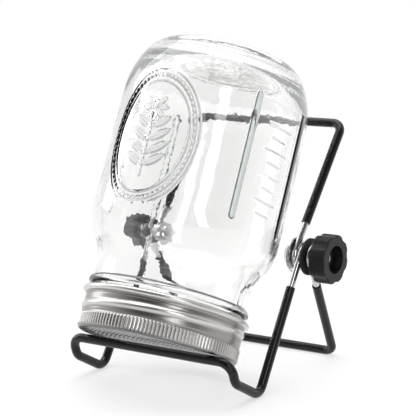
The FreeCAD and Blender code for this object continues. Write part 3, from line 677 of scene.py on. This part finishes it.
LADDER_ANGLE = math.radians(-9.0)
LADDER_LINES = 8
LADDER_START, LADDER_STEP = 59.0, 5.6
LADDER_HALVES = (4.0, 7.0)
LINE_HEIGHT, LINE_WIDTH, LINE_FADE = 0.4, 0.75, 0.8


def ladder_relief(angles, up):
    """A plain ladder of measuring lines between one pair of ribs."""
    side = np.abs(apart(angles, LADDER_ANGLE) * BODY_RADIUS)
    height = np.zeros_like(up)
    for number in range(LADDER_LINES):
        half = LADDER_HALVES[number % 2]
        line = bump(up - (LADDER_START + LADDER_STEP * number), LINE_WIDTH)
        line = line * (1 - eased(side, half, half + LINE_FADE))
        height = np.maximum(height, LINE_HEIGHT * line)
    return height


def wound(turns, up, start, width, run_in, run_out):
    """A thread that climbs by one pitch per turn, and fades in and out over parts of a turn."""
    fade = eased(turns, *run_in) * (1 - eased(turns, *run_out))
    return fade * bump(up - (start + THREAD_PITCH * turns), width)


THREAD_START = 3.2
THREAD_HEIGHT, THREAD_WIDTH = 1.3, 1.35
THREAD_RUN_IN, THREAD_RUN_OUT = (0.0, 0.06), (1.09, 1.15)
THREAD_TOP = 17.0


def thread_relief(angles, up):
    """The neck's screw thread."""
    height = np.zeros_like(up)
    for lap in (0, 1):
        turns = angles / TURN + lap
        hill = wound(turns, up, THREAD_START, THREAD_WIDTH, THREAD_RUN_IN, THREAD_RUN_OUT)
        height = np.maximum(height, THREAD_HEIGHT * hill)
    return height


RELIEF_LOW, RELIEF_HIGH = SHOULDER_END - 4, HEEL_START + 6
STIPPLE_DEPTH = 0.12
STIPPLE_FLOOR, STIPPLE_RADIUS = 127.0, 21.0
TOE_FLOOR, TOE_RADIUS = 130.2, 25.0
STIPPLES_ROUND, STIPPLE_WAVES = 60, 3.3
TOE_NICKS, TOE_NICK_WIDTH = 120, 2.0


def jar_shape(across, up, angles):
    """Raise the relief of the body and the neck, and stipple the base."""
    outside = np.arange(len(across))[:, None] < np.argmin(up[:, 0])
    body = outside & (up > RELIEF_LOW) & (up < RELIEF_HIGH)
    from_oval = apart(angles, OVAL_ANGLE) * BODY_RADIUS
    relief = np.maximum(oval_relief(from_oval, up - OVAL_LEVEL), ladder_relief(angles, up))
    relief = np.maximum(relief, rib_relief(angles, up))
    neck = outside & (up < THREAD_TOP)
    pushed = across + np.where(body, np.maximum(relief, 0), 0)
    pushed = pushed + np.where(neck, thread_relief(angles, up), 0)
    panel = outside & (up > STIPPLE_FLOOR) & (across < STIPPLE_RADIUS) & (across > 0)
    stipple = STIPPLE_DEPTH * np.cos(angles * STIPPLES_ROUND) * np.cos(across * STIPPLE_WAVES)
    toe = outside & (up > TOE_FLOOR) & (across > TOE_RADIUS)
    nicks = -STIPPLE_DEPTH * bump(apart(angles * TOE_NICKS, 0.0), TOE_NICK_WIDTH)
    return pushed, up + np.where(panel, stipple, 0) + np.where(toe, nicks, 0)


def build_jar():
    points, faces = turned(jar_profile(), JAR_SEGMENTS, jar_shape)
    jar = add_piece("jar", points, faces, GLASS, jar_place(RIM_LEVEL), "jar", "jar_glass")
    jar.visible_shadow = False


# Strainer lid


def band_profile():
    """Rings from the opening's edge out under the corner, up the skirt, over the bead and back."""
    turn_in = BAND_RADIUS - BAND_CORNER
    inner_corner = BAND_CORNER - BAND_LIP
    inner_turn = BAND_ROOT - inner_corner
    rings = straight((BAND_OPENING, BAND_LIP), (BAND_OPENING, 0), step=0.3)
    rings += straight((BAND_OPENING, 0), (turn_in, 0), step=0.7)
    rings += bend(turn_in, BAND_CORNER, BAND_CORNER, -90, 0, step=0.2)
    rings += straight((BAND_RADIUS, BAND_CORNER), (BAND_RADIUS, SKIRT_END), step=0.3)
    rings += bend(*BEAD_MIDDLE, BEAD_RADIUS, *BEAD_TURN, step=0.35)
    rings += straight((BAND_ROOT, SKIRT_INNER_END), (BAND_ROOT, BAND_CORNER), step=1.2)
    rings += bend(inner_turn, BAND_CORNER, inner_corner, 0, -90, step=0.15)
    rings += straight((inner_turn, BAND_LIP), (BAND_OPENING, BAND_LIP), step=0.8)
    return rings


KNURL_FADE = 0.6
KNURL_FLOOR = 0.15
TOOTH_SEGMENTS = 6
ROLLED_END = 15.9
ROLLED_START, ROLLED_ANGLE = 8.6, math.radians(140.0)
ROLLED_HEIGHT, ROLLED_WIDTH = 0.75, 2.2
ROLLED_RUN_IN, ROLLED_RUN_OUT = (0.0, 0.07), (1.02, 1.1)
GROOVES = ((7.2, 0.25), (15.3, 0.3))
GROOVE_WIDTH = 0.6


def band_shape(across, up, angles):
    """Push out the knurl and the rolled thread, and draw in a groove on each side of the thread."""
    outside = (across >= BAND_RADIUS - 0.001) & (up < ROLLED_END)
    low, high = KNURL_SPAN
    span = eased(up, low, low + KNURL_FADE) * (1 - eased(up, high - KNURL_FADE, high))
    teeth = 0.5 - 0.5 * np.cos(angles * KNURL_TEETH)
    push = KNURL_DEPTH * span * (KNURL_FLOOR + (1 - KNURL_FLOOR) * teeth)
    for lap in (0, 1):
        turns = (angles - ROLLED_ANGLE) % TURN / TURN + lap
        hill = wound(turns, up, ROLLED_START, ROLLED_WIDTH, ROLLED_RUN_IN, ROLLED_RUN_OUT)
        push = np.maximum(push, ROLLED_HEIGHT * hill)
    for level, depth in GROOVES:
        push = push - depth * bump(up - level, GROOVE_WIDTH)
    return across + np.where(outside, push, 0), up


def build_band():
    points, faces = turned(band_profile(), KNURL_TEETH * TOOTH_SEGMENTS, band_shape)
    add_piece("band", points, faces, TINPLATE, jar_place(0), "lid", "lid_band", sharp=50.0)


WEAVE_LEVEL = 1.2
WEAVE_PITCH = 1.2
WEAVE_RADIUS = 32.6
WEAVE_FLAT = (WEAVE_RADIUS - 1.6, WEAVE_RADIUS - 0.3)
STRAND = 0.17
STRAND_SIDES = 6


def strand(run, offset, sign, along_x):
    """Points and faces of one strand of the weave, over and under its neighbours by turns."""
    count = max(2, round(2 * run / (WEAVE_PITCH / 2)))
    along = np.linspace(-run, run, count + 1)
    flat = 1 - eased(np.hypot(along, offset), *WEAVE_FLAT)
    lift = sign * STRAND * np.cos(math.pi * along / WEAVE_PITCH) * flat
    angles = np.arange(STRAND_SIDES) * TURN / STRAND_SIDES
    side = offset + STRAND * np.cos(angles)[None, :] + np.zeros_like(along)[:, None]
    up = lift[:, None] + STRAND * np.sin(angles)[None, :]
    length = np.repeat(along[:, None], STRAND_SIDES, axis=1)
    layers = (length, side, up) if along_x else (side, length, up)
    points = np.stack(layers, axis=-1).reshape(-1, 3)
    faces = [tuple(range(STRAND_SIDES)), tuple(range(len(points) - STRAND_SIDES, len(points)))]
    for ring in range(len(along) - 1):
        low, high = ring * STRAND_SIDES, (ring + 1) * STRAND_SIDES
        for number in range(STRAND_SIDES):
            after = (number + 1) % STRAND_SIDES
            faces.append((low + number, low + after, high + after, high + number))
    return points, faces


def build_weave():
    verts, faces = [], []
    steps = int(WEAVE_RADIUS / WEAVE_PITCH)
    for along_x in (True, False):
        for number in range(-steps, steps + 1):
            offset = number * WEAVE_PITCH
            run = math.sqrt(WEAVE_RADIUS**2 - offset**2)
            sign = (1 if along_x else -1) * (1 if number % 2 else -1)
            points, sides = strand(run, offset, sign, along_x)
            start = sum(len(group) for group in verts)
            verts.append(points)
            faces += [tuple(start + corner for corner in side) for side in sides]
    points = np.concatenate(verts) * MM
    place = jar_place(WEAVE_LEVEL)
    add_piece("strainer_weave", points, faces, WEAVE, place, "screen", "screen_mesh")


# Studio

FLOOR_RADIUS = 6.0
FLOOR_SHADES = ((0.93, 0.93, 0.93, 1), (0.95, 0.95, 0.95, 1))
FLOOR_FADE = (0.1, 0.35)
FLOOR_WHITENESS = (0.6, 1.0)


def build_floor():
    """A wide pale floor that fades to plain white away from the object."""
    bpy.ops.mesh.primitive_circle_add(vertices=96, radius=FLOOR_RADIUS, fill_type="NGON")
    floor = bpy.context.object
    floor.name = "floor"
    finish = Finish(bpy.data.materials.new("pale_floor"))
    surface = finish.tree.nodes["Principled BSDF"]
    surface.inputs["Roughness"].default_value = 0.6
    surface.inputs["Specular IOR Level"].default_value = 0.2
    tone = finish.mixed(finish.noise(3.0), *FLOOR_SHADES)
    finish.plug(surface.inputs["Base Color"], tone)
    x, y, _ = finish.parts_of(finish.place())
    away = finish.ramp((x * x + y * y) ** 0.5, *FLOOR_FADE, *FLOOR_WHITENESS)
    white = finish.node("ShaderNodeEmission", None, {"Color": WHITE, "Strength": 1.0})
    lit = Flow(finish, surface.outputs[0])
    shown = finish.node("ShaderNodeMixShader", None, {0: away, 1: lit, 2: white})
    finish.plug(finish.tree.nodes["Material Output"].inputs["Surface"], shown)
    floor.data.materials.append(finish.owner)


CAMERA_AZIMUTH = math.radians(35.3)
CAMERA_HEIGHT = math.radians(11.0)
CAMERA_ROLL = math.radians(-1.7)
CAMERA_DISTANCE = 0.6636
CAMERA_TARGET = PIVOT + Vector((0.0075, -0.0252, 0.02328))
CAMERA_LENS, CAMERA_SENSOR = 129.8, 36.0


def towards_camera():
    flat = math.cos(CAMERA_HEIGHT)
    across, along = math.sin(CAMERA_AZIMUTH) * flat, -math.cos(CAMERA_AZIMUTH) * flat
    return Vector((across, along, math.sin(CAMERA_HEIGHT)))


ROOM_LIGHT = 0.55
ROOM_TURN, ROOM_TONES = (0.75, 0.1), (0.08, 0.85)
WALL_RISE, WALL_TONES = (-0.2, 0.5), (0.5, 0.88)
BACKDROP_TURN = (-0.5, -0.93)


def build_world():
    """White where the object is seen against it; a plain grey room on the camera's side."""
    world = bpy.data.worlds.new("studio")
    bpy.context.scene.world = world
    finish = Finish(world)
    finish.tree.nodes.clear()
    rays = finish.node("ShaderNodeLightPath").socket.node
    seen = Flow(finish, rays.outputs["Is Camera Ray"])
    glossy = Flow(finish, rays.outputs["Is Glossy Ray"])
    through = Flow(finish, rays.outputs["Is Transmission Ray"])
    x, y, z = finish.parts_of(finish.node("ShaderNodeTexCoord", output="Generated"))
    view = towards_camera()
    facing = x * view.x + y * view.y + z * view.z
    room = finish.ramp(facing, *ROOM_TURN, *ROOM_TONES)
    wall = finish.ramp(z, *WALL_RISE, *WALL_TONES)
    backdrop = finish.ramp(facing, *BACKDROP_TURN, wall, 1.0)
    reflected, refracted = glossy * room, through * (1 - glossy) * backdrop
    seen_by = reflected + refracted + (1 - glossy) * (1 - through) * ROOM_LIGHT
    strength = seen + (1 - seen) * seen_by
    light = finish.node("ShaderNodeBackground", None, {"Color": WHITE, "Strength": strength})
    output = finish.tree.nodes.new("ShaderNodeOutputWorld")
    finish.plug(output.inputs["Surface"], light)


# Each softbox: its place, the point it faces, its width and height in metres, and its power
SOFTBOXES = {
    "top_light": ((-0.1, 0.1, 0.9), (0, 0, 0.05), (0.9, 0.9), 6.0),
    "left_light": ((-0.9, -0.1, 0.5), (0, 0, 0.07), (0.4, 0.8), 3.0),
    "right_light": ((0.7, -0.5, 0.4), (0, 0, 0.07), (0.2, 0.7), 2.2),
}


def build_lights():
    for name, (place, aim, size, power) in SOFTBOXES.items():
        lamp = bpy.data.lights.new(name, "AREA")
        lamp.shape = "RECTANGLE"
        lamp.size, lamp.size_y = size
        lamp.energy = power
        softbox = bpy.data.objects.new(name, lamp)
        bpy.context.scene.collection.objects.link(softbox)
        softbox.location = place
        facing = Vector(aim) - Vector(place)
        softbox.rotation_euler = facing.to_track_quat("-Z", "Y").to_euler()


def build_camera():
    lens = bpy.data.cameras.new("camera")
    lens.lens = CAMERA_LENS
    lens.sensor_width = CAMERA_SENSOR
    lens.sensor_fit = "HORIZONTAL"
    camera = bpy.data.objects.new("camera", lens)
    bpy.context.scene.collection.objects.link(camera)
    back = towards_camera()
    right = Vector((math.cos(CAMERA_AZIMUTH), math.sin(CAMERA_AZIMUTH), 0))
    up = back.cross(right)
    rolled_right = right * math.cos(CAMERA_ROLL) + up * math.sin(CAMERA_ROLL)
    rolled_up = up * math.cos(CAMERA_ROLL) - right * math.sin(CAMERA_ROLL)
    turn = Matrix((rolled_right, rolled_up, back)).transposed().to_4x4()
    camera.matrix_world = Matrix.Translation(CAMERA_TARGET + back * CAMERA_DISTANCE) @ turn
    bpy.context.scene.camera = camera


build_jar()
build_band()
build_weave()
build_floor()
build_world()
build_lights()
build_camera()
bpy.context.scene.view_settings.view_transform = "Standard"
